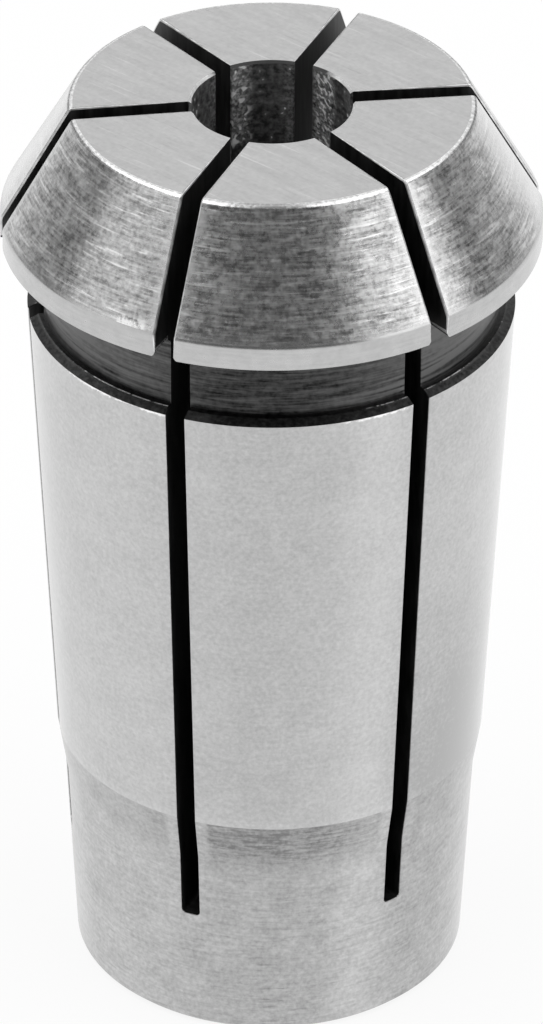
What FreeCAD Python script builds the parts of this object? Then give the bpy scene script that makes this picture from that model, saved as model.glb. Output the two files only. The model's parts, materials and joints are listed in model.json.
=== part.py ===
import FreeCAD, Part
import math
import os

# Router collet: one piece of hardened steel, turned and ground, then sawn from the nose.
# Millimetres. +Z runs up the axis to the nose. The origin is the centre of the flat tail face.

# Whole piece
overallLength = 39.35

# Bore that grips the shank of a quarter inch cutter
boreDiameter = 6.35
boreEdgeBreak = 0.1

# Body: taper of one in ten on the diameter, widest at the shoulder
bodyDiameter = 19.45
taperRatio = 0.1
shoulderChamferWidth = 0.36
shoulderChamferHeight = 0.2

# Head: flat face, cone that the nut bears on, short cylindrical land that stands out past the body
headOverhang = 1.025
noseHalfAngle = 30.0
noseLength = 4.8
noseEdgeRadius = 0.25
landLength = 1.0
landEdgeBreak = 0.06

# Groove that the nut's ring snaps into, its depth taken from the body's widest diameter
grooveLength = 3.0
grooveDepth = 0.575
neckTopRadius = 0.3

# Tail: relieved below the body's taper, with a short bevel between them
tailLength = 8.6
bevelLength = 2.0
tailRelief = 0.22
tailEdgeChamfer = 0.25

# Slots sawn from the nose through to the bore, leaving a closed ring at the tail
slotCount = 6
slotWidth = 0.78
slotFloorHeight = 5.6
slotFloorRadius = 0.18
headCornerRadius = 0.3
firstSlotAngle = -90.0

# How far a cutting tool runs past the steel, and how close two lengths count as equal
overrun = 1.0
tolerance = 1e-4
fullTurn = 360
axisFoot = FreeCAD.Vector(0, 0, 0)
axisDirection = FreeCAD.Vector(0, 0, 1)

boreRadius = boreDiameter / 2
headRadius = bodyDiameter / 2 + headOverhang
neckRadius = bodyDiameter / 2 - grooveDepth
landTop = overallLength - noseLength
headFloor = landTop - landLength
shoulderHeight = headFloor - grooveLength
faceRadius = headRadius - noseLength * math.tan(math.radians(noseHalfAngle))
bevelTop = tailLength + bevelLength


def bodyRadiusAt(height):
    return bodyDiameter / 2 - (shoulderHeight - height) * taperRatio / 2


def tailRadiusAt(height):
    return bodyRadiusAt(height) - tailRelief


def circlesAt(shape, radius, height):
    # Finds the turned edge with this radius at this height
    found = []
    for edge in shape.Edges:
        curve = edge.Curve
        if not isinstance(curve, Part.Circle):
            continue
        if abs(curve.Radius - radius) < tolerance and abs(curve.Center.z - height) < tolerance:
            found.append(edge)
    return found


def turnedBlank():
    # Half section from the bore out and up, spun about the axis
    chamferFoot = shoulderHeight - shoulderChamferHeight
    chamferRadius = bodyRadiusAt(chamferFoot)
    section = [
        (boreRadius, 0.0),
        (tailRadiusAt(0.0), 0.0),
        (tailRadiusAt(tailLength), tailLength),
        (bodyRadiusAt(bevelTop), bevelTop),
        (chamferRadius, chamferFoot),
        (chamferRadius - shoulderChamferWidth, shoulderHeight),
        (neckRadius, shoulderHeight),
        (neckRadius, headFloor),
        (headRadius, headFloor),
        (headRadius, landTop),
        (faceRadius, overallLength),
        (boreRadius, overallLength),
    ]
    points = [FreeCAD.Vector(radius, 0, height) for radius, height in section]
    outline = Part.makePolygon(points + points[:1])
    blank = Part.Face(outline).revolve(axisFoot, axisDirection, fullTurn)
    # The seam of the turn lies in the first slot, so that no finger is split by it
    blank.rotate(axisFoot, axisDirection, firstSlotAngle)
    return blank


def finishTurnedEdges(blank):
    shape = blank.makeFillet(neckTopRadius, circlesAt(blank, neckRadius, headFloor))
    shape = shape.makeFillet(noseEdgeRadius, circlesAt(shape, faceRadius, overallLength))
    shape = shape.makeChamfer(tailEdgeChamfer, circlesAt(shape, tailRadiusAt(0.0), 0.0))
    shape = shape.makeChamfer(landEdgeBreak, circlesAt(shape, headRadius, headFloor))
    boreMouths = circlesAt(shape, boreRadius, 0.0) + circlesAt(shape, boreRadius, overallLength)
    return shape.makeChamfer(boreEdgeBreak, boreMouths)


def slotTool():
    # What one pass of the saw takes out, from the axis outward along +X
    reach = headRadius + overrun
    height = overallLength + overrun - slotFloorHeight
    corner = FreeCAD.Vector(0, -slotWidth / 2, slotFloorHeight)
    tool = Part.makeBox(reach, slotWidth, height, corner)
    floorEdges = []
    for edge in tool.Edges:
        heights = [vertex.Z for vertex in edge.Vertexes]
        spanY = abs(edge.Vertexes[0].Y - edge.Vertexes[-1].Y)
        if max(heights) - slotFloorHeight < tolerance and spanY < tolerance:
            floorEdges.append(edge)
    return tool.makeFillet(slotFloorRadius, floorEdges)


def headCornerTool(side):
    # What rounds the head's lower corner on one side of a slot, clear of the neck
    inner = neckRadius + neckTopRadius
    reach = headRadius + overrun - inner
    wall = side * slotWidth / 2
    far = wall + side * headCornerRadius
    corner = FreeCAD.Vector(inner, min(wall, far), headFloor)
    square = Part.makeBox(reach, headCornerRadius, headCornerRadius, corner)
    centre = FreeCAD.Vector(inner, far, headFloor + headCornerRadius)
    return square.cut(Part.makeCylinder(headCornerRadius, reach, centre, FreeCAD.Vector(1, 0, 0)))


def slottedCollet():
    tools = [slotTool(), headCornerTool(-1), headCornerTool(1)]
    cuts = []
    for index in range(slotCount):
        for tool in tools:
            cut = tool.copy()
            cut.rotate(axisFoot, axisDirection, firstSlotAngle + index * fullTurn / slotCount)
            cuts.append(cut)
    return finishTurnedEdges(turnedBlank()).cut(cuts).removeSplitter()


os.makedirs("parts", exist_ok=True)
collet = slottedCollet()
collet.exportStep("parts/collet.step")
print("collet: solids", len(collet.Solids), "valid", collet.isValid(), "volume in mm3", round(collet.Volume))
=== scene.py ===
import bmesh
import bpy
import json
import math
from mathutils import Matrix, Vector


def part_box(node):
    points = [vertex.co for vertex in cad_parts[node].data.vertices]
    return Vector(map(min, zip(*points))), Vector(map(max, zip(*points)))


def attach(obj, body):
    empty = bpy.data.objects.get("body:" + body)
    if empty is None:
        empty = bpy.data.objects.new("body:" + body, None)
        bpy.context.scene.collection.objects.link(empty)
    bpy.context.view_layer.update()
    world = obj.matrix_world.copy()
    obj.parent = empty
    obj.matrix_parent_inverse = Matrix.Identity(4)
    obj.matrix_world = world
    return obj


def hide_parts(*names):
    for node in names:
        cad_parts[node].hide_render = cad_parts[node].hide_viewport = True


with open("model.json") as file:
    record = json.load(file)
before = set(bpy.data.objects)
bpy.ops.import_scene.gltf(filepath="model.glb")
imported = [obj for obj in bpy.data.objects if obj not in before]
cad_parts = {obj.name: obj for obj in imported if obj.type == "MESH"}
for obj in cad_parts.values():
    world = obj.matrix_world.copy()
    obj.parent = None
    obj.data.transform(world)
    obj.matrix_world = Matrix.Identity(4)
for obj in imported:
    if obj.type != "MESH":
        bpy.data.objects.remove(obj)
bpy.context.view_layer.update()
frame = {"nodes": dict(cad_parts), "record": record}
cadFoot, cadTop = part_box("collet")
print("frame loaded:", ", ".join(sorted(frame["nodes"])))

millimetre = 0.001
mergeDistance = 0.0005          # millimetres within which two corners are one
heightTolerance = 1e-6          # millimetres within which two heights are equal


# A number, colour or vector that runs through the nodes of one finish
class Signal:
    def __init__(self, finish, socket):
        self.finish = finish
        self.socket = socket

    def maths(self, operation, *terms):
        return self.finish.node("ShaderNodeMath", {"operation": operation}, dict(enumerate(terms)))

    def __add__(self, other):
        return self.maths("ADD", self, other)

    def __sub__(self, other):
        return self.maths("SUBTRACT", self, other)

    def __rsub__(self, other):
        return self.maths("SUBTRACT", other, self)

    def __mul__(self, other):
        return self.maths("MULTIPLY", self, other)

    def __pow__(self, other):
        return self.maths("POWER", self, other)

    def __abs__(self):
        return self.maths("ABSOLUTE", self)

    def least(self, other):
        return self.maths("MINIMUM", self, other)

    def most(self, other):
        return self.maths("MAXIMUM", self, other)

    def sine(self):
        return self.maths("SINE", self)

    def spread(self, gain):         # a noise set round zero and made stronger
        return (self - 0.5) * gain

    def toward(self, target, share):
        return self + (target - self) * share

    def rise(self, low, high):      # 0 below low, 1 above high, smooth between them
        limits = {"Value": self, "From Min": low, "From Max": high}
        return self.finish.node("ShaderNodeMapRange", {"interpolation_type": "SMOOTHSTEP"}, limits)

    def fall(self, low, high):
        return 1 - self.rise(low, high)


# One material and the way its nodes are made
class Finish:
    def __init__(self, tree):
        self.tree = tree
        self.tree.nodes.clear()

    def node(self, kind, settings=None, sockets=None, output=0):
        made = self.tree.nodes.new(kind)
        for name, value in (settings or {}).items():
            setattr(made, name, value)
        for name, value in (sockets or {}).items():
            if isinstance(value, Signal):
                self.tree.links.new(value.socket, made.inputs[name])
            else:
                made.inputs[name].default_value = value
        return Signal(self, made.outputs[output]) if made.outputs else None

    def blend(self, share, first, second):      # colours mixed by a share
        return self.node("ShaderNodeMix", {"data_type": "RGBA"}, {0: share, 6: first, 7: second}, 2)

    def stretched(self, vector, factors):
        return self.node("ShaderNodeVectorMath", {"operation": "MULTIPLY"}, {0: vector, 1: factors})

    def along(self, vector, direction):         # how far a point lies along a direction
        sockets = {0: vector, 1: direction}
        return self.node("ShaderNodeVectorMath", {"operation": "DOT_PRODUCT"}, sockets, "Value")

    def joined(self, x, y, z):
        return self.node("ShaderNodeCombineXYZ", {}, {0: x, 1: y, 2: z})

    def noise(self, vector, scale, detail=2.0, roughness=0.5):
        sockets = {"Vector": vector, "Scale": scale, "Detail": detail, "Roughness": roughness}
        return self.node("ShaderNodeTexNoise", {}, sockets)

    def drawn(self, vector, factors, detail=2.0, roughness=0.5):    # a noise squeezed into lines
        return self.noise(self.stretched(vector, factors), 1.0, detail, roughness)

    def bumped(self, height, depth):            # depth in millimetres
        sockets = {"Strength": 1.0, "Distance": depth * millimetre, "Height": height}
        return self.node("ShaderNodeBump", {}, sockets)


# Where a point of the collet lies, in millimetres
class Spot:
    def __init__(self, finish):
        plain = finish.node("ShaderNodeTexCoord", output="Object")
        scaled = {0: plain, "Scale": 1 / millimetre}
        self.point = finish.node("ShaderNodeVectorMath", {"operation": "SCALE"}, scaled)
        x, y, z = [finish.node("ShaderNodeSeparateXYZ", {}, {0: self.point}, axis) for axis in "XYZ"]
        self.height = z
        self.radius = (x * x + y * y) ** 0.5
        self.bearing = x.maths("ARCTAN2", x, y * -1)    # from -Y towards +X, its jump in a slot
        nearest = x.maths("WRAP", self.bearing, slotStep / 2, -slotStep / 2)
        self.fromSlot = abs(self.radius * nearest.sine()) - slotHalf

    def beside(self, degrees, reach):       # 1 at this bearing, 0 where it is reach degrees away
        away = self.bearing - math.radians(degrees)
        return abs(away.maths("WRAP", away, math.pi, -math.pi)).fall(0, math.radians(reach))


def grey(level):
    return (level, level, level, 1)


# Shape of the collet

collet = {                          # millimetres, as the part's own source gives them
    "bodyRadius": 9.725,            # at the shoulder
    "taper": 0.05,                  # on the radius
    "tailTop": 8.6,
    "bevelTop": 10.6,
    "tailRelief": 0.22,
    "footRim": 0.25,
    "shoulder": 30.55,
    "chamferWidth": 0.36,
    "chamferHeight": 0.2,
    "neckRadius": 9.15,
    "neckFillet": 0.3,
    "headFloor": 33.55,
    "landBreak": 0.06,
    "landTop": 34.55,
    "headRadius": 10.75,
    "noseAngle": 30.0,
    "noseFillet": 0.25,
    "landFillet": 0.4,              # where the land turns into the cone
    "headCorner": 0.3,
    "mouth": 0.1,
    "slotWidth": 0.78,
    "slotFloor": 5.6,
    "floorFillet": 0.18,
    "slotCount": 6,
    "columns": 16,                  # strips from a slot to the middle of a finger
    "firstStrip": 0.3,              # share of the first strip that lies beside the slot's edge
    "roundingSteps": 5,             # of the groove's and the nose's roundings
    "landSteps": 4,                 # of the rounding between land and cone
    "floorSteps": 4,                # of the slot floor's roundings
    "cornerRows": (0.35, 0.5, 0.7, 1.0),    # rows up the head's rounded corner, as shares of it
    "headEdge": 0.08,               # how much is broken off the slots' edges on the head
    "bodyEdge": 0.04,               # on the body and tail
    "boreEdge": 0.1,                # and in the bore
    "edgeSegments": 2,
    "softWithin": 24.0,             # degrees at which an edge inside one finish still looks round
    "softAcross": 4.0,              # and an edge between two finishes
}
overallHeight = (cadTop.z - cadFoot.z) / millimetre
boreRadius = frame["record"]["mounts"][0]["dims"]["r_mm"]
slotHalf = collet["slotWidth"] / 2
slotStep = 2 * math.pi / collet["slotCount"]        # from one slot to the next


def bodyRadiusAt(height):
    return collet["bodyRadius"] - (collet["shoulder"] - height) * collet["taper"]


def tailRadiusAt(height):
    return bodyRadiusAt(height) - collet["tailRelief"]


def arc(centre, radius, start, end, steps):     # points of a rounding, its ends left out
    angles = [math.radians(start + (end - start) * i / steps) for i in range(1, steps)]
    return [(centre[0] + radius * math.cos(a), centre[1] + radius * math.sin(a)) for a in angles]


def fingerPoint(radius, height, offset, share):
    start = math.asin(offset / radius)
    angle = start + (slotStep / 2 - start) * share
    return (radius * math.cos(angle), radius * math.sin(angle), height)


def gapPoint(radius, height, offset):
    return (math.sqrt(radius * radius - offset * offset), offset, height)


def outerRows():
    # From the slot's floor up the outside to the head: radius, height and the zone above
    fillet = collet["neckFillet"]
    chamferFoot = collet["shoulder"] - collet["chamferHeight"]
    chamferRadius = bodyRadiusAt(chamferFoot)
    neck = collet["neckRadius"]
    floorTop = collet["slotFloor"] + collet["floorFillet"]
    rows = [
        (tailRadiusAt(floorTop), floorTop, "tail"),
        (tailRadiusAt(collet["tailTop"]), collet["tailTop"], "bevel"),
        (bodyRadiusAt(collet["bevelTop"]), collet["bevelTop"], "body"),
        (chamferRadius, chamferFoot, "chamfer"),
        (chamferRadius - collet["chamferWidth"], collet["shoulder"], "shoulder"),
        (neck, collet["shoulder"], "neck"),
        (neck, collet["headFloor"] - fillet, "neck"),
    ]
    centre = (neck + fillet, collet["headFloor"] - fillet)
    rows += [(r, z, "neck") for r, z in arc(centre, fillet, 180, 90, collet["roundingSteps"])]
    rows.append((neck + fillet, collet["headFloor"], "under"))
    return rows


def headRows():
    # Up the head, over the nose and into the bore
    radius = collet["headRadius"]
    floor = collet["headFloor"]
    cut = collet["landBreak"]
    corner = collet["headCorner"]
    rows = [(radius - cut, floor, "rim"), (radius - cut * 2 / 3, floor + cut / 3, "rim"),
            (radius - cut / 3, floor + cut * 2 / 3, "rim"), (radius, floor + cut, "land")]
    for share in collet["cornerRows"]:
        rows.append((radius, floor + corner * share, "land"))
    slope = math.radians(collet["noseAngle"])
    soft = collet["landFillet"]
    middle = (radius - soft, collet["landTop"] - soft * math.tan(slope / 2))
    rows.append((radius, middle[1], "land"))
    rows += [(r, z, "land") for r, z in arc(middle, soft, 0, collet["noseAngle"], collet["landSteps"])]
    rows.append((middle[0] + soft * math.cos(slope), middle[1] + soft * math.sin(slope), "cone"))
    sharp = radius - (overallHeight - collet["landTop"]) * math.tan(slope)
    fillet = collet["noseFillet"]
    touch = fillet * math.tan((math.pi / 2 - slope) / 2)
    centre = (sharp - touch, overallHeight - fillet)
    start = (centre[0] + fillet * math.cos(slope), centre[1] + fillet * math.sin(slope))
    rows.append((start[0], start[1], "nose"))
    nose = arc(centre, fillet, collet["noseAngle"], 90, collet["roundingSteps"])
    rows += [(r, z, "nose") for r, z in nose]
    rows.append((centre[0], overallHeight, "face"))
    rows.append((boreRadius + collet["mouth"], overallHeight, "mouth"))
    rows.append((boreRadius, overallHeight - collet["mouth"], "bore"))
    return rows


def ringRows(top):
    # The closed ring below the slots, from the bore down, out and up again
    rim = collet["footRim"]
    return [
        (boreRadius, top, "bore"),
        (boreRadius, collet["mouth"], "mouth"),
        (boreRadius + collet["mouth"], 0.0, "foot"),
        (tailRadiusAt(0.0) - rim, 0.0, "footRim"),
        (tailRadiusAt(rim), rim, "tail"),
        (tailRadiusAt(top), top, "tail"),
    ]


def cornerOffset(height):
    # How far the head's rounded lower corner stands from the slot's middle plane
    corner = collet["headCorner"]
    above = min(height - collet["headFloor"], corner)
    return slotHalf + corner - math.sqrt(max(corner * corner - (corner - above) ** 2, 0))


def halfSector():
    # One side of one slot, as a list of polygons with their zones
    count = collet["columns"]
    shares = [i / count for i in range(count + 1)]
    shares.insert(1, collet["firstStrip"] / count)
    faces = []

    def strip(low, high, zone, lowOffset=slotHalf, highOffset=slotHalf, extra=None):
        below = [fingerPoint(low[0], low[1], lowOffset, s) for s in shares]
        above = [fingerPoint(high[0], high[1], highOffset, s) for s in shares]
        for i in range(len(shares) - 1):
            polygon = [below[i], below[i + 1], above[i + 1], above[i]]
            if i == 0 and extra:
                polygon.append(extra)
            faces.append((polygon, zone))

    outer = outerRows()
    head = headRows()
    floorTop = outer[0][1]
    inner = outer[-1]
    corner = collet["headFloor"] + collet["headCorner"]
    foot = fingerPoint(inner[0], inner[1], slotHalf, 0)
    for low, high in zip(outer[:-2], outer[1:-1]):
        strip(low, high, low[2])
    strip(outer[-2], inner, outer[-2][2], highOffset=cornerOffset(inner[1]), extra=foot)
    strip(inner, head[0], "under", cornerOffset(inner[1]), cornerOffset(head[0][1]))
    for low, high in zip(head[:-1], head[1:]):
        strip(low, high, low[2], cornerOffset(low[1]), cornerOffset(high[1]))
    strip(head[-1], (boreRadius, floorTop), "bore")

    # The head's rounded corner, from the slot inward to the neck
    rounding = [row for row in head if row[1] <= corner + heightTolerance]
    near = [gapPoint(inner[0], z, cornerOffset(z)) for r, z, zone in rounding]
    far = [gapPoint(r, z, cornerOffset(z)) for r, z, zone in rounding]
    for i in range(len(rounding) - 1):
        faces.append(([near[i], far[i], far[i + 1], near[i + 1]], "corner"))
    faces.append(([foot] + near, "under"))

    # The slot's flat wall
    wall = [gapPoint(r, z, slotHalf) for r, z, zone in outer]
    wall.append(near[-1])
    wall += [gapPoint(r, z, slotHalf) for r, z, zone in head if z > corner - heightTolerance]
    wall.append(gapPoint(boreRadius, floorTop, slotHalf))
    faces.append((wall, "slot"))

    # The closed ring, below the finger and below the gap
    ring = ringRows(floorTop)
    for low, high in zip(ring[:-1], ring[1:]):
        strip(low, high, low[2])
    fillet = collet["floorFillet"]
    gap = [(0.0, collet["slotFloor"])]
    for step in range(collet["floorSteps"] + 1):
        turn = math.radians(90 * step / collet["floorSteps"])
        gap.append((slotHalf - fillet + fillet * math.sin(turn),
                    collet["slotFloor"] + fillet * (1 - math.cos(turn))))
    for (left, leftTop), (right, rightTop) in zip(gap[:-1], gap[1:]):
        leftRows = ringRows(leftTop)
        rightRows = ringRows(rightTop)
        leftPoints = [gapPoint(r, z, left) for r, z, zone in leftRows]
        rightPoints = [gapPoint(r, z, right) for r, z, zone in rightRows]
        for i in range(len(leftRows) - 1):
            polygon = [leftPoints[i], rightPoints[i], rightPoints[i + 1], leftPoints[i + 1]]
            faces.append((polygon, leftRows[i][2]))
        floor = [leftPoints[0], rightPoints[0], rightPoints[-1], leftPoints[-1]]
        faces.append((floor, "floor"))
    return faces


zoneFinish = {                      # which finish each turned or sawn zone has
    "tail": "tailSteel", "bevel": "tailSteel", "body": "bodySteel", "chamfer": "shoulderSteel",
    "shoulder": "shoulderSteel", "neck": "neckSteel", "under": "neckSteel", "corner": "slotSteel",
    "rim": "landSteel", "land": "landSteel", "cone": "coneSteel", "nose": "noseSteel",
    "face": "faceSteel", "mouth": "mouthSteel", "bore": "boreSteel", "foot": "footSteel",
    "footRim": "rimSteel", "slot": "slotSteel", "floor": "slotSteel",
}
finishNames = sorted(set(zoneFinish.values()) | {"edgeSteel"})


def buildCollet():
    work = bmesh.new()
    zoneNames = sorted(zoneFinish)
    zoneLayer = work.faces.layers.int.new("zone")
    sector = halfSector()
    for index in range(collet["slotCount"]):
        turn = Matrix.Rotation(-math.pi / 2 + index * slotStep, 3, "Z")
        for side in (1, -1):
            for polygon, zone in sector:
                corners = [turn @ Vector((x, y * side, z)) * millimetre for x, y, z in polygon]
                face = work.faces.new([work.verts.new(c) for c in corners])
                face[zoneLayer] = zoneNames.index(zone)
                face.material_index = finishNames.index(zoneFinish[zone])
    bmesh.ops.remove_doubles(work, verts=work.verts, dist=mergeDistance * millimetre)
    bmesh.ops.recalc_face_normals(work, faces=work.faces)

    def zonesOf(edge):
        return {zoneNames[face[zoneLayer]] for face in edge.link_faces}

    def edgesBetween(first, second):
        found = []
        for edge in work.edges:
            zones = zonesOf(edge)
            if len(edge.link_faces) == 2 and zones & first and zones & second and len(zones) == 2:
                found.append(edge)
        return found

    sawn = {"slot", "floor"}
    onHead = {"corner", "rim", "land", "cone", "nose", "face"}
    onBody = {"tail", "bevel", "body", "chamfer", "shoulder", "neck"}
    edgeBreaks = [
        ({"bore"}, collet["boreEdge"], "boreSteel"),
        (onHead, collet["headEdge"], "edgeSteel"),
        (onBody, collet["bodyEdge"], "bodySteel"),
    ]
    for zones, offset, edgeFinish in edgeBreaks:
        bmesh.ops.bevel(work, geom=edgesBetween(sawn, zones), offset=offset * millimetre,
                        segments=collet["edgeSegments"], profile=0.5, affect="EDGES",
                        clamp_overlap=False, material=finishNames.index(edgeFinish))
    # Down in the groove the slots' edges are dark too, and on the tail they are like the tail
    grooveFoot = (collet["shoulder"] - collet["chamferHeight"]) * millimetre
    for face in work.faces:
        height = face.calc_center_median().z
        if face.material_index == finishNames.index("bodySteel"):
            if height > grooveFoot:
                face.material_index = finishNames.index("neckSteel")
            elif height < collet["bevelTop"] * millimetre:
                face.material_index = finishNames.index("tailSteel")
    # Corners of the turning stay crisp, roundings stay smooth
    for edge in work.edges:
        if len(edge.link_faces) == 2:
            sameFinish = len({face.material_index for face in edge.link_faces}) == 1
            limit = math.radians(collet["softWithin"] if sameFinish else collet["softAcross"])
            edge.smooth = edge.calc_face_angle(0) < limit
    for face in work.faces:
        face.smooth = True
    mesh = bpy.data.meshes.new("colletSteel")
    work.to_mesh(mesh)
    work.free()
    made = bpy.data.objects.new("colletSteel", mesh)
    bpy.context.scene.collection.objects.link(made)
    weighted = made.modifiers.new("evenShading", "WEIGHTED_NORMAL")
    weighted.keep_sharp = True
    weighted.weight = 100
    return made


colletObject = buildCollet()
print("collet built:", len(colletObject.data.polygons), "faces")


# Finishes of the steel

# A look gives the greys, the roughness and how uneven it is, the clear film over it, the depth of the
# relief in millimetres and the middle of the tone. A noise is a scale, or a squeeze along X, Y and Z,
# then its detail and roughness. A share says how strongly a thing shows, a range is where a noise
# starts and is fully on, and a place is a bearing and a reach in degrees.
filmRoughness = 0.2
grooveFrontShade = (20.0, 62.0)          # painted shade: where the groove and shoulder are darkest, towards the front


def steel(name, tone, look, roughness, height, bright=None):
    # tone runs from 0, the dark grey, to 1, the light grey; bright lays a light mark over it, rubbed on
    # the cone and painted highlights and glints elsewhere
    finish = tone.finish
    colour = finish.blend(tone, grey(look["dark"]), grey(look["light"]))
    if bright is not None:
        colour = finish.blend(bright, colour, grey(look["bright"]))
    sockets = {"Base Color": colour, "Metallic": look.get("metallic", 1.0), "Roughness": roughness,
               "Coat Weight": look.get("film", 0.0), "Coat Roughness": filmRoughness,
               "Normal": finish.bumped(height, look["relief"])}
    shader = finish.node("ShaderNodeBsdfPrincipled", {}, sockets)
    finish.node("ShaderNodeOutputMaterial", {}, {"Surface": shader})


def uneven(noise, look):
    return noise.spread(look["uneven"]) + look["roughness"]


def startFinish(name):
    material = bpy.data.materials.new(name)
    material.use_nodes = True
    finish = Finish(material.node_tree)
    return finish, Spot(finish)


def faceSteel(name):
    # Surface ground: straight fine lines all one way
    look = {
        "dark": 0.36, "light": 0.62, "roughness": 0.24, "uneven": 0.12, "relief": 0.003, "middle": 0.5,
        "grain": -18.0,                             # degrees from X
        "fine": (0.9, 10, 0, 3.0, 0.6),             # along and across the grain, layer, detail, roughness
        "coarse": (0.4, 2.0, 4.0, 2.0),
        "hairs": (0.25, 8, 9.0, 1.0),
        "spots": (5.0, 2.0, 0.6),
        "fineShare": 0.5, "coarseShare": 0.5, "spotShare": 0.5,
        "lightHairs": (0.66, 0.74), "darkHairs": (0.26, 0.34), "darkHairShare": 0.5,
        "scratchShare": 0.35, "scratchRelief": 0.6,
    }
    finish, spot = startFinish(name)
    grain = math.radians(look["grain"])
    alongGrain = finish.along(spot.point, (math.cos(grain), math.sin(grain), 0))
    acrossGrain = finish.along(spot.point, (-math.sin(grain), math.cos(grain), 0))

    def ground(along, across, layer, *detail):
        return finish.noise(finish.joined(alongGrain * along, acrossGrain * across, layer), 1.0, *detail)

    fine = ground(*look["fine"])
    coarse = ground(*look["coarse"])
    hairs = ground(*look["hairs"])
    spots = finish.noise(spot.point, *look["spots"])
    scratch = hairs.rise(*look["lightHairs"]) - hairs.fall(*look["darkHairs"]) * look["darkHairShare"]
    tone = fine.spread(look["fineShare"]) + coarse.spread(look["coarseShare"])
    tone = tone + spots.spread(look["spotShare"]) + look["middle"] + scratch * look["scratchShare"]
    steel(name, tone, look, uneven(fine, look), fine + scratch * look["scratchRelief"])


def coneSteel(name):
    # Turning lines round the cone over a grainy grey, smoother beside the slots, with streaky painted
    # highlights and painted highlights on the left and right sides
    look = {
        "dark": 0.2, "light": 0.88, "bright": 1.0, "roughness": 0.28, "uneven": 0.2, "unevenLines": 0.1,
        "film": 0.3, "relief": 0.006, "middle": 0.42,
        "lines": ((0.8, 0.8, 11.0), 3.0, 0.6), "lineShare": 1.3,
        "broad": ((0.7, 0.7, 2.2), 2.0), "broadShare": 0.8,
        "mottle": (3.2, 2.0, 0.6), "mottleShare": 0.8,
        "grains": (6.0, 1.0, 0.6), "grainShare": 0.8, "grainRelief": 0.5,
        "streaks": ((0.45, 0.45, 8.0), 2.0), "streakRange": (0.58, 0.72), "streakShare": 0.55,
        "slotReach": (0.05, 0.5), "slotTone": 0.76, "slotShare": 0.75,
        "rightSide": (116.0, 24.0), "leftSide": (-72.0, 18.0), "sideTone": 0.95, "sideShare": 0.8,
        "footHeight": 0.4, "footWaver": 0.5, "footTone": 0.6, "footShare": 0.6,
        "rubbed": (-8.0, 5.0), "rubbedFade": (0.1, 0.4), "rubbedHeights": (0.2, 0.5),
        "rubbedRange": (0.55, 0.8), "rubbedGrains": 0.5,
    }
    finish, spot = startFinish(name)
    lines = finish.drawn(spot.point, *look["lines"])
    broad = finish.drawn(spot.point, *look["broad"])
    mottle = finish.noise(spot.point, *look["mottle"])
    grains = finish.noise(spot.point, *look["grains"])
    # Painted highlight: streaky bright marks where the turned cone catches the light
    streaks = finish.drawn(spot.point, *look["streaks"]).rise(*look["streakRange"])
    tone = lines.spread(look["lineShare"]) + broad.spread(look["broadShare"])
    tone = tone + mottle.spread(look["mottleShare"]) + grains.spread(look["grainShare"])
    tone = tone + streaks * look["streakShare"] + look["middle"]
    besideSlot = spot.fromSlot.fall(*look["slotReach"])
    # Painted highlight: the left and right sides lighter and evener, where the cone reflects the bright
    # studio
    smooth = spot.beside(*look["rightSide"]).most(spot.beside(*look["leftSide"]))
    tone = tone.toward(look["slotTone"], besideSlot * look["slotShare"])
    tone = tone.toward(look["sideTone"], smooth * look["sideShare"])
    foot = collet["landTop"]
    nearFoot = (spot.height + mottle.spread(look["footWaver"])).fall(foot, foot + look["footHeight"])
    tone = tone.toward(look["footTone"], nearFoot * look["footShare"])
    low, high = look["rubbedHeights"]
    rubbed = spot.beside(*look["rubbed"]).rise(*look["rubbedFade"])
    rubbed = rubbed * spot.height.fall(foot + low, foot + high)
    rubbed = rubbed * (mottle + grains * look["rubbedGrains"]).rise(*look["rubbedRange"])
    roughness = mottle.spread(look["uneven"]) + lines.spread(look["unevenLines"]) + look["roughness"]
    steel(name, tone, look, roughness, lines + grains * look["grainRelief"], rubbed)


def landSteel(name):
    # Satin, with fine lines round it
    look = {
        "dark": 0.42, "light": 0.60, "roughness": 0.26, "uneven": 0.1, "film": 0.6, "relief": 0.002,
        "middle": 0.5,
        "lines": ((0.6, 0.6, 9.0), 3.0, 0.6), "lineShare": 0.6,
        "spots": (2.2, 3.0, 0.6), "spotShare": 0.9,
    }
    finish, spot = startFinish(name)
    lines = finish.drawn(spot.point, *look["lines"])
    spots = finish.noise(spot.point, *look["spots"])
    tone = lines.spread(look["lineShare"]) + spots.spread(look["spotShare"]) + look["middle"]
    steel(name, tone, look, uneven(spots, look), lines)


def paintedLightBands(spot):
    # Painted light and shade: broad soft bands up the body and tail, lighter on the sides and darker
    # towards the front, standing in for the studio's reflections; each a bearing, a reach and how much
    # lighter it is
    bands = {"frontDark": (22.0, 22.0, -0.12), "rightLight": (50.0, 14.0, 0.3),
             "leftLight": (-20.0, 24.0, 0.12)}
    # Painted shadow: the lower right of the body and tail darker, fading out upwards
    lowerRightShadow = {"place": (84.0, 40.0), "heights": (11.0, 24.0), "share": -0.65}
    total = spot.beside(*lowerRightShadow["place"]) * spot.height.fall(*lowerRightShadow["heights"])
    total = total * lowerRightShadow["share"]
    for bearing, reach, share in bands.values():
        total = total + spot.beside(bearing, reach) * share
    return total


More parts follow.
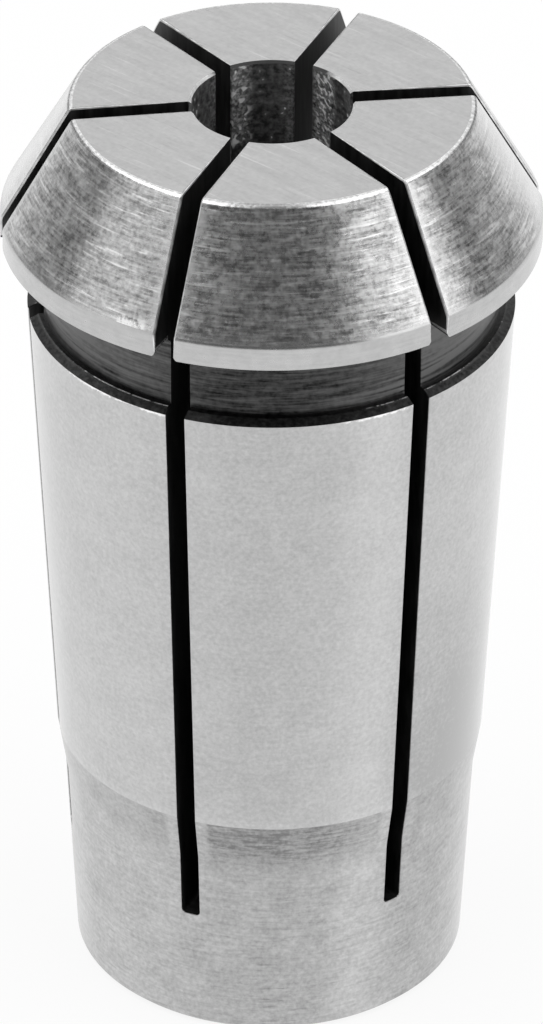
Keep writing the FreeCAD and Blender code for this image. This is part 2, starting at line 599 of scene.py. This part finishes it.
def bodySteel(name):
    # Ground satin, faintly mottled, with the painted light and shade bands, a painted highlight above the
    # bevel, and a broken burr along the top edge painted bright as a highlight on the lit sides
    look = {
        "dark": 0.38, "light": 0.62, "bright": 1.0, "roughness": 0.32, "uneven": 0.1, "film": 1.0,
        "relief": 0.003, "middle": 0.5,
        "spots": (5.5, 3.0, 0.65), "spotShare": 1.3,
        "clouds": (0.55, 3.0, 0.55), "cloudShare": 0.5,
        "lines": ((0.8, 0.8, 8.0), 2.0), "lineShare": 0.3, "lineRelief": 0.5,
        "footHeights": (0.1, 0.5), "footShare": 0.12,
        "dashes": ((2.6, 2.6, 5.0), 3.0, 0.7), "dashRange": (0.4, 0.58),
        "burrLeft": (-18.0, 22.0), "burrRight": (50.0, 14.0), "burrFade": 0.4, "burrWaver": 0.2,
        "burrDepths": (0.14, 0.05),                 # below the edge, where it starts and is full
    }
    finish, spot = startFinish(name)
    spots = finish.noise(spot.point, *look["spots"])
    clouds = finish.noise(spot.point, *look["clouds"])
    lines = finish.drawn(spot.point, *look["lines"])
    tone = spots.spread(look["spotShare"]) + clouds.spread(look["cloudShare"])
    tone = tone + lines.spread(look["lineShare"]) + paintedLightBands(spot) + look["middle"]
    # Painted highlight: a soft lighter strip just above the bevel's top edge
    low, high = look["footHeights"]
    nearFoot = spot.height.fall(collet["bevelTop"] + low, collet["bevelTop"] + high)
    tone = tone + nearFoot * look["footShare"]
    edge = collet["shoulder"] - collet["chamferHeight"]
    low, high = look["burrDepths"]
    dashes = finish.drawn(spot.point, *look["dashes"]).rise(*look["dashRange"])
    # Painted highlight: the top edge's bright line shows only on the lit sides, where the bands are
    # lighter
    place = spot.beside(*look["burrLeft"]).most(spot.beside(*look["burrRight"])).rise(0, look["burrFade"])
    burrHighlight = (spot.height + spots.spread(look["burrWaver"])).rise(edge - low, edge - high) * dashes * place
    steel(name, tone, look, uneven(spots, look), spots + lines * look["lineRelief"], burrHighlight)


def tailSteel(name):
    # Relieved tail and its bevel, where turning marks show darker between the slots, with the painted
    # light and shade bands and painted light on the right side
    look = {
        "dark": 0.18, "light": 0.66, "roughness": 0.32, "uneven": 0.1, "film": 0.6, "relief": 0.004,
        "middle": 0.54,
        "spots": (5.0, 3.0, 0.65), "spotShare": 0.8,
        "clouds": (0.8, 3.0, 0.55), "cloudShare": 0.4,
        "lines": ((0.9, 0.9, 8.0), 3.0, 0.6), "lineShare": 0.5,
        "dashes": ((0.9, 0.9, 7.0), 1.0), "dashRange": (0.66, 0.78), "dashHeights": (4.0, 6.0),
        "dashShare": 0.2, "bandShare": 0.6,
        "wornDepths": (3.0, 0.6),                   # below the bevel's top, where it starts and is full
        "wornWaver": 1.5, "wornFromSlot": (0.35, 0.65), "wornFront": (28.0, 50.0),
        "wornFrontShare": 0.9, "wornShare": 0.35, "wornLines": 1.6, "wornDark": 0.3,
        "rightSide": (88.0, 44.0), "rightShare": 0.34, "rightWorn": 0.3,
    }
    finish, spot = startFinish(name)
    spots = finish.noise(spot.point, *look["spots"])
    clouds = finish.noise(spot.point, *look["clouds"])
    lines = finish.drawn(spot.point, *look["lines"])
    dashes = finish.drawn(spot.point, *look["dashes"]).rise(*look["dashRange"])
    tone = spots.spread(look["spotShare"]) + clouds.spread(look["cloudShare"])
    tone = tone + lines.spread(look["lineShare"]) + paintedLightBands(spot) * look["bandShare"] + look["middle"]
    top = collet["bevelTop"]
    low, high = look["wornDepths"]
    worn = (spot.height + lines.spread(look["wornWaver"])).rise(top - low, top - high)
    share = spot.beside(*look["wornFront"]) * look["wornFrontShare"] + look["wornShare"]
    # Painted light: the right side lighter, mostly cancelling the painted shadow of the bands there, and
    # the dark band weaker there
    right = spot.beside(*look["rightSide"])
    worn = worn * spot.fromSlot.rise(*look["wornFromSlot"]) * share.least(1)
    worn = worn * (1 - right * look["rightWorn"])
    tone = tone + right * look["rightShare"] - worn * (lines.spread(look["wornLines"]) + look["wornDark"])
    tone = tone - dashes * spot.height.fall(*look["dashHeights"]) * look["dashShare"]
    steel(name, tone, look, uneven(spots, look), spots + lines)


def noseSteel(name):
    # The rounded edge between the face and the cone, rubbed bright, with painted shade darkening it
    # towards the front
    look = {
        "dark": 0.4, "light": 1.0, "roughness": 0.3, "uneven": 0.1, "relief": 0.008, "middle": 0.55,
        "spots": (6.0, 3.0, 0.6), "spotShare": 2.0, "front": (22.7, 16.0), "frontShare": 0.5,
    }
    finish, spot = startFinish(name)
    spots = finish.noise(spot.point, *look["spots"])
    tone = spots.spread(look["spotShare"]) + look["middle"]
    # Painted shade: darker where it faces the front
    tone = tone - spot.beside(*look["front"]) * look["frontShare"]
    steel(name, tone, look, uneven(spots, look), spots)


def edgeSteel(name):
    # The slots' broken edges on the head
    look = {
        "dark": 0.5, "light": 0.85, "roughness": 0.4, "uneven": 0.1, "film": 0.4, "relief": 0.004,
        "spots": (2.0, 2.0, 0.6), "spotRange": (0.3, 0.7),
    }
    finish, spot = startFinish(name)
    spots = finish.noise(spot.point, *look["spots"])
    steel(name, spots.rise(*look["spotRange"]), look, uneven(spots, look), spots)


def neckSteel(name):
    # Left dark from hardening, with the lathe's lines round it, and painted light making the sides and
    # the rings near the shoulder lighter than the front
    look = {
        "dark": 0.006, "light": 0.13, "roughness": 0.36, "uneven": 0.2, "relief": 0.012, "middle": 0.34,
        "lines": ((0.5, 0.5, 7.0), 3.0, 0.65), "lineShare": 1.6,
        "spots": (4.0, 3.0, 0.6), "spotShare": 0.8, "spotRelief": 0.3,
        "ringHeight": 4, "ringRange": (0.42, 0.62), "ringHeights": (0.6, 1.4), "ringShare": 1.4,
        "sideShare": 0.7,
    }
    finish, spot = startFinish(name)
    lines = finish.drawn(spot.point, *look["lines"])
    spots = finish.noise(spot.point, *look["spots"])
    # Painted light: the sides lighter than the front
    side = 1 - spot.beside(*grooveFrontShade)
    rings = finish.noise(finish.joined(spot.height * look["ringHeight"], spot.bearing, 0), 1.0, 1.0)
    low, high = look["ringHeights"]
    nearShoulder = spot.height.fall(collet["shoulder"] + low, collet["shoulder"] + high)
    rings = (rings.rise(*look["ringRange"]) - 0.5) * nearShoulder
    tone = lines.spread(look["lineShare"]) + spots.spread(look["spotShare"])
    tone = tone + rings * side * look["ringShare"] + look["middle"] + side * look["sideShare"]
    steel(name, tone, look, uneven(spots, look), lines + spots * look["spotRelief"])


def shoulderSteel(name):
    # Nearly black, with a thin bright line on its inner corner painted as a highlight on the lit sides,
    # and lighter rings at the sides as painted light
    look = {
        "dark": 0.006, "light": 0.12, "bright": 0.7, "roughness": 0.38, "uneven": 0.2, "relief": 0.01,
        "middle": 0.4,
        "spots": (5.0, 3.0, 0.6), "spotShare": 1.2,
        "lineWidths": (0.015, 0.04), "lineLeft": (-12.0, 20.0), "lineRight": (62.0, 22.0),
        "lineFade": 0.5, "patches": ((2.4, 2.4, 1.0), 3.0, 0.75), "patchPlace": 0.24,
        "patchRange": (0.6, 0.76),
        "ringRadius": 5, "ringRange": (0.4, 0.6), "ringShare": 0.9,
        "ledgeReach": (0.05, 0.12), "ledgeShare": 0.2,
    }
    finish, spot = startFinish(name)
    spots = finish.noise(spot.point, *look["spots"])
    corner = bodyRadiusAt(collet["shoulder"] - collet["chamferHeight"]) - collet["chamferWidth"]
    # Painted highlight: the corner's bright line shows only on the lit sides
    place = spot.beside(*look["lineLeft"]).most(spot.beside(*look["lineRight"])).rise(0, look["lineFade"])
    patches = finish.drawn(spot.point, *look["patches"]) + place * look["patchPlace"]
    line = abs(spot.radius - corner).fall(*look["lineWidths"]) * patches.rise(*look["patchRange"])
    side = 1 - spot.beside(*grooveFrontShade)
    rings = finish.noise(finish.joined(spot.radius * look["ringRadius"], spot.bearing, 0), 1.0, 1.0)
    inner, outer = look["ledgeReach"]
    # Painted light: the ledge and its rings lighter at the sides than at the front
    ledge = spot.radius.fall(corner - inner, corner + outer) * side
    tone = spots.spread(look["spotShare"]) + look["middle"]
    tone = tone + ledge * (rings.rise(*look["ringRange"]) * look["ringShare"] + look["ledgeShare"])
    steel(name, tone, look, uneven(spots, look), spots, line)


def boreSteel(name):
    # Dark and dull, with rings from boring, lighter near the mouth as painted light, and bright specks
    # and slanting stripes beside some slots painted as glints
    look = {
        "dark": 0.03, "light": 0.5, "bright": 1.0, "metallic": 0.25, "roughness": 0.5, "relief": 0.02,
        "rings": ((0.8, 0.8, 4.0), 2.0, 0.6), "ringShare": 0.5,
        "spots": (4.5, 3.0, 0.6), "spotShare": 0.9, "spotRelief": 0.4,
        "upperDepths": (3.9, 3.5), "upperShare": 0.14,      # below the face, where it starts and is full
        "strokes": (161.0, 15.0), "strokeDepths": (5.0, 4.5), "strokeSlant": (2.6, 5.0),
        "strokeRange": (0.5, 0.62), "strokeSpots": 0.2,
        "flecks": (226.0, 13.0), "fleckNoise": (4.2, 0.0), "fleckRange": (0.6, 0.76),
        "placeFade": 0.8,
        "rareDots": (4.5, 0.0), "rareRange": (0.78, 0.84),
        "speckle": (7.0, 2.0, 0.6), "speckleRange": (0.42, 0.66), "speckleShare": 0.5,
        "placeShare": 0.1, "slotReach": (0.1, 0.7), "slotShare": 0.3,
    }
    finish, spot = startFinish(name)
    rings = finish.drawn(spot.point, *look["rings"])
    spots = finish.noise(spot.point, *look["spots"])

    def above(depths):
        return spot.height.rise(overallHeight - depths[0], overallHeight - depths[1])

    # Painted light: the upper bore, near the mouth, lighter; this also bounds where the glints go
    upper = above(look["upperDepths"])
    strokePlace = spot.beside(*look["strokes"]).rise(0, look["placeFade"]) * above(look["strokeDepths"])
    fleckPlace = spot.beside(*look["flecks"]).rise(0, look["placeFade"]) * upper
    around = spot.bearing * boreRadius
    wide, narrow = look["strokeSlant"]
    slant = finish.joined((around + spot.height) * wide, (around - spot.height) * narrow, 0)
    broken = (spots + strokePlace * look["strokeSpots"]).rise(*look["strokeRange"])
    # Painted glints: bright slanting stripes, specks and rare spots laid over the tone
    strokes = finish.noise(slant, 1.0, 1.0).rise(*look["strokeRange"]) * broken * strokePlace
    flecks = finish.noise(spot.point, *look["fleckNoise"]).rise(*look["fleckRange"]) * fleckPlace
    glintDots = finish.noise(spot.point, *look["rareDots"]).rise(*look["rareRange"])
    speckle = finish.noise(spot.point, *look["speckle"]).rise(*look["speckleRange"])
    besideSlot = spot.fromSlot.fall(*look["slotReach"]) * upper
    tone = rings.spread(look["ringShare"]) + spots.spread(look["spotShare"]) + upper * look["upperShare"]
    # Painted glints: small lighter spots in the marked places and beside the slots' upper edges
    marked = strokePlace.most(fleckPlace)
    tone = tone + marked * (speckle * look["speckleShare"] + look["placeShare"])
    tone = tone + besideSlot * speckle * look["slotShare"]
    relief = rings + spots * look["spotRelief"]
    steel(name, tone, look, look["roughness"], relief, strokes.most(flecks).most(glintDots))


def mouthSteel(name):
    # The broken edge round the bore, as light as the face, with painted shade making it dark at the back
    look = {
        "dark": 0.03, "light": 0.9, "metallic": 0.3, "roughness": 0.5, "relief": 0.004, "middle": 0.8,
        "spots": (5.0, 2.0, 0.6), "spotShare": 0.8, "back": (202.7, 70.0), "backFade": (0.1, 0.5),
    }
    finish, spot = startFinish(name)
    spots = finish.noise(spot.point, *look["spots"])
    tone = spots.spread(look["spotShare"]) + look["middle"]
    # Painted shade: darker at the back
    tone = tone - spot.beside(*look["back"]).rise(*look["backFade"])
    steel(name, tone, look, look["roughness"], spots)


def slotSteel(name):
    # Sawn and left black
    look = {
        "dark": 0.02, "light": 0.12, "roughness": 0.5, "uneven": 0.2, "relief": 0.01, "middle": 0.5,
        "saw": ((3.0, 3.0, 0.5), 3.0, 0.6), "sawShare": 1.6,
    }
    finish, spot = startFinish(name)
    saw = finish.drawn(spot.point, *look["saw"])
    steel(name, saw.spread(look["sawShare"]) + look["middle"], look, uneven(saw, look), saw)


def footSteel(name):
    # Faced off on the lathe: rings round the bore
    look = {
        "dark": 0.34, "light": 0.58, "roughness": 0.28, "uneven": 0.1, "relief": 0.01,
        "ringRadius": 6, "rings": (1.0, 3.0, 0.7), "ringShare": 0.6,
        "spots": (2.0, 3.0, 0.6), "spotShare": 0.4,
    }
    finish, spot = startFinish(name)
    rings = finish.noise(finish.joined(spot.radius * look["ringRadius"], 0, 0), *look["rings"])
    spots = finish.noise(spot.point, *look["spots"])
    tone = rings * look["ringShare"] + spots * look["spotShare"]
    steel(name, tone, look, uneven(spots, look), rings)


def rimSteel(name):
    # The chamfer round the tail face
    look = {
        "dark": 0.2, "light": 0.45, "roughness": 0.34, "uneven": 0.1, "relief": 0.006,
        "spots": (3.0, 3.0, 0.6),
    }
    finish, spot = startFinish(name)
    spots = finish.noise(spot.point, *look["spots"])
    steel(name, spots, look, uneven(spots, look), spots)


finishMakers = {
    "faceSteel": faceSteel, "coneSteel": coneSteel, "landSteel": landSteel, "bodySteel": bodySteel,
    "tailSteel": tailSteel, "noseSteel": noseSteel, "edgeSteel": edgeSteel, "neckSteel": neckSteel,
    "shoulderSteel": shoulderSteel, "boreSteel": boreSteel, "mouthSteel": mouthSteel,
    "slotSteel": slotSteel, "footSteel": footSteel, "rimSteel": rimSteel,
}
for finishName in finishNames:
    finishMakers[finishName](finishName)
    colletObject.data.materials.append(bpy.data.materials[finishName])
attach(colletObject, "root")
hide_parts("collet")
print("finishes made:", len(finishNames))


# Camera

view = {
    "turn": 22.68,                  # degrees round from -Y
    "elevation": 32.92,
    "distance": 330.0,              # millimetres from the point looked at
    "lookAt": (0.04, 20.17),        # to the right of the axis, and up it
    "lens": 286.5,
    "sensorWidth": 36.0,
    "roll": 0.23,
    "clipStart": 0.02,              # metres
    "clipEnd": 20.0,
}
turn = math.radians(view["turn"])
lift = math.radians(view["elevation"])
toRight = Vector((math.cos(turn), math.sin(turn), 0))
toViewer = Vector((math.sin(turn), -math.cos(turn), 0))
backward = toViewer * math.cos(lift) + Vector((0, 0, 1)) * math.sin(lift)


def addCamera():
    data = bpy.data.cameras.new("photoView")
    data.sensor_width = view["sensorWidth"]
    data.lens = view["lens"]
    data.clip_start = view["clipStart"]
    data.clip_end = view["clipEnd"]
    camera = bpy.data.objects.new("photoView", data)
    bpy.context.scene.collection.objects.link(camera)
    lookAt = (toRight * view["lookAt"][0] + Vector((0, 0, view["lookAt"][1]))) * millimetre
    camera.location = lookAt + backward * view["distance"] * millimetre
    facing = (-backward).to_track_quat("-Z", "Y").to_matrix()
    camera.rotation_euler = (facing @ Matrix.Rotation(math.radians(view["roll"]), 3, "Z")).to_euler()
    bpy.context.scene.camera = camera


addCamera()


# Studio

studio = {
    "floorRadius": 0.7,             # metres
    "floorSides": 128,
    "floorShade": 0.92,
    "shadowShare": 0.12,            # how much of the floor's own shading the camera sees
    "world": 0.16,
    "lamps": {                      # bearing from the viewer and elevation in degrees, width and
                                    # height in metres, radiance
        "backSoftbox": (180, 36, 1.0, 0.7, 0.88),
        "leftStrip": (-66, 14, 0.66, 0.42, 0.84),
        "rightStrip": (62, 14, 0.66, 0.42, 1.5),
        "leftSoftbox": (-80, 58, 1.0, 0.45, 2.2),
        "rightSoftbox": (80, 58, 1.0, 0.45, 2.0),
        "topSoftbox": (180, 82, 0.5, 0.5, 0.8),
        "leftLow": (-120, 8, 0.5, 0.24, 0.3),
        "rightLow": (120, 8, 0.5, 0.24, 0.32),
    },
    "lampDistance": 0.8,
}


def addFloor():
    work = bmesh.new()
    bmesh.ops.create_circle(work, cap_ends=True, segments=studio["floorSides"],
                            radius=studio["floorRadius"])
    mesh = bpy.data.meshes.new("studioFloor")
    work.to_mesh(mesh)
    work.free()
    floor = bpy.data.objects.new("studioFloor", mesh)
    bpy.context.scene.collection.objects.link(floor)
    material = bpy.data.materials.new("studioPaper")
    material.use_nodes = True
    finish = Finish(material.node_tree)
    camera = finish.node("ShaderNodeLightPath", output="Is Camera Ray")
    glossy = finish.node("ShaderNodeLightPath", output="Is Glossy Ray")
    through = finish.node("ShaderNodeLightPath", output="Is Transmission Ray")
    paper = finish.node("ShaderNodeBsdfDiffuse", {}, {"Color": grey(studio["floorShade"])})
    glow = finish.node("ShaderNodeEmission", {}, {"Color": grey(1), "Strength": 1.0})
    share = camera * (1 - studio["shadowShare"]) + glossy.most(through)
    surface = finish.node("ShaderNodeMixShader", {}, {0: share.least(1), 1: paper, 2: glow})
    finish.node("ShaderNodeOutputMaterial", {}, {"Surface": surface})
    mesh.materials.append(material)


def addLamp(name, bearing, elevation, width, height, radiance):
    data = bpy.data.lights.new(name, "AREA")
    data.shape = "RECTANGLE"
    data.size = width
    data.size_y = height
    data.energy = radiance * math.pi * width * height
    lamp = bpy.data.objects.new(name, data)
    bpy.context.scene.collection.objects.link(lamp)
    around = math.radians(bearing)
    up = math.radians(elevation)
    level = toViewer * math.cos(around) + toRight * math.sin(around)
    direction = level * math.cos(up) + Vector((0, 0, 1)) * math.sin(up)
    lamp.location = direction * studio["lampDistance"]
    lamp.rotation_euler = direction.to_track_quat("Z", "Y").to_euler()


def addWorld():
    world = bpy.data.worlds.new("studioRoom")
    world.use_nodes = True
    bpy.context.scene.world = world
    finish = Finish(world.node_tree)
    camera = finish.node("ShaderNodeLightPath", output="Is Camera Ray")
    colour = finish.blend(camera, grey(studio["world"]), grey(1))
    background = finish.node("ShaderNodeBackground", {}, {"Color": colour, "Strength": 1.0})
    finish.node("ShaderNodeOutputWorld", {}, {"Surface": background})


addFloor()
for lampName, lampValues in studio["lamps"].items():
    addLamp(lampName, *lampValues)
addWorld()
bpy.context.scene.view_settings.view_transform = "Standard"
print("studio set")
